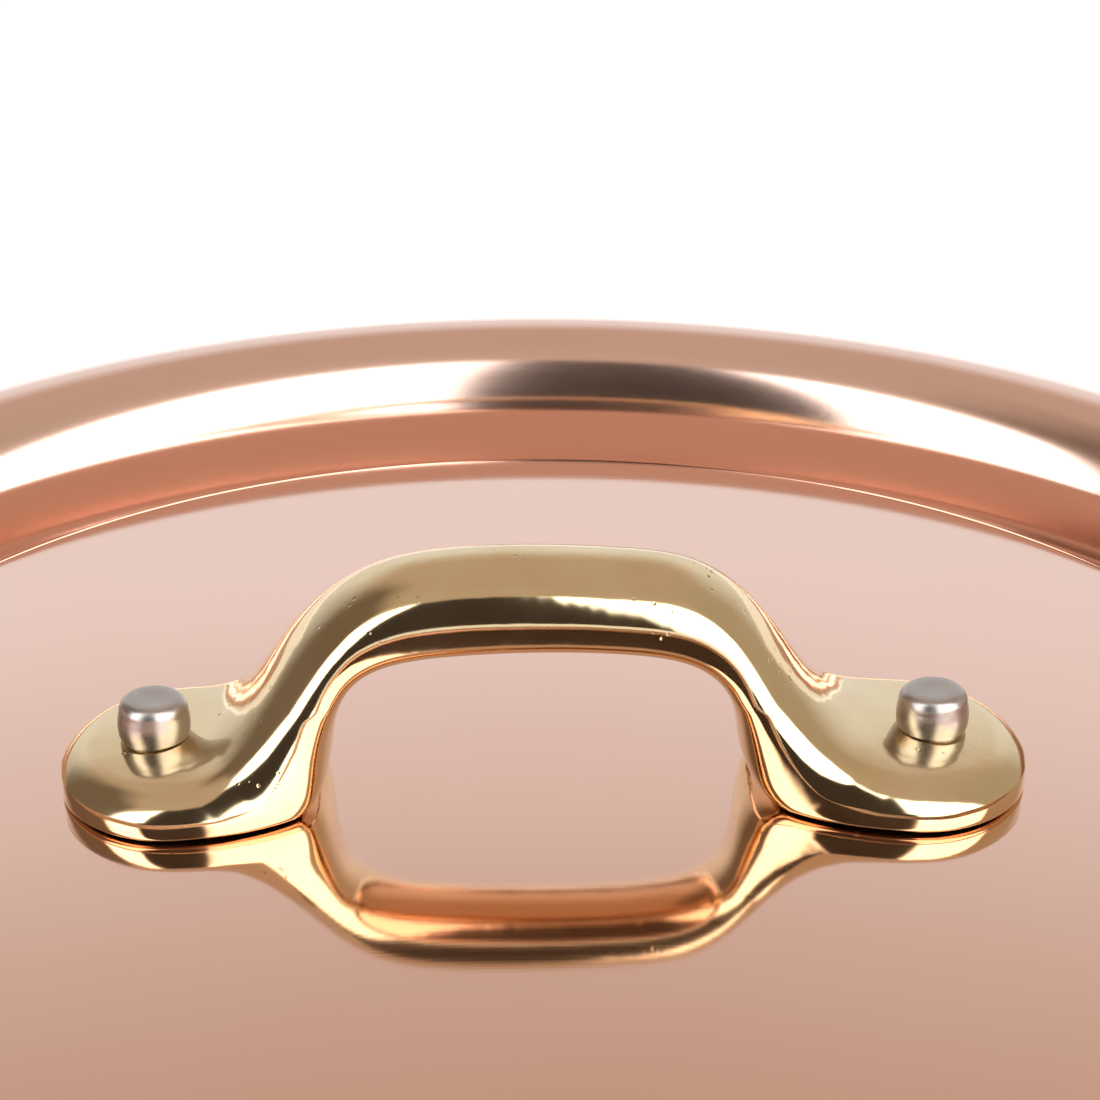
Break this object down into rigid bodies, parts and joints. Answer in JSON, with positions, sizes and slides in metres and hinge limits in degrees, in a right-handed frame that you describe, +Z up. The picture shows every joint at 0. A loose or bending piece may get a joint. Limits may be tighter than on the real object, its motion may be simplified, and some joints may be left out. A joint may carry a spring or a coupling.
{
  "type": "copper saucepan with lid",
  "caption": "Lidded copper saucepan with steel lining, a riveted cast brass long handle and a flat domed lid with a raised rim and a riveted cast brass loop handle.",
  "frame": {"origin": "centre of the pan's base, on the surface that it stands on", "axes": "+Z up along the pan's axis, +X from the pan's axis along the long handle, +Y completes a right-handed frame; the lid's loop handle lies along X"},
  "size_m": [0.4844, 0.2548, 0.1682],
  "materials": {
    "pan_copper": "polished",
    "lid_copper": "polished",
    "steel_lining": "satin",
    "cast_brass": "polished",
    "rivet_steel": "satin"
  },
  "bodies": {
    "pan": {"pan_copper_shell": "pan_copper", "pan_steel_lining": "steel_lining", "pan_long_handle": "cast_brass", "handle_rivet_upper_left": "rivet_steel", "handle_rivet_upper_right": "rivet_steel", "handle_rivet_lower": "rivet_steel"},
    "lid": {"lid_copper_shell": "lid_copper", "lid_steel_lining": "steel_lining", "lid_handle": "cast_brass", "lid_rivet_left": "rivet_steel", "lid_rivet_right": "rivet_steel"}
  },
  "joints": [
    {"name": "lid_lift", "type": "slide", "parent": "pan", "child": "lid", "axis": [0, 0, 1], "range_m": [0, 0.12]}
  ]
}
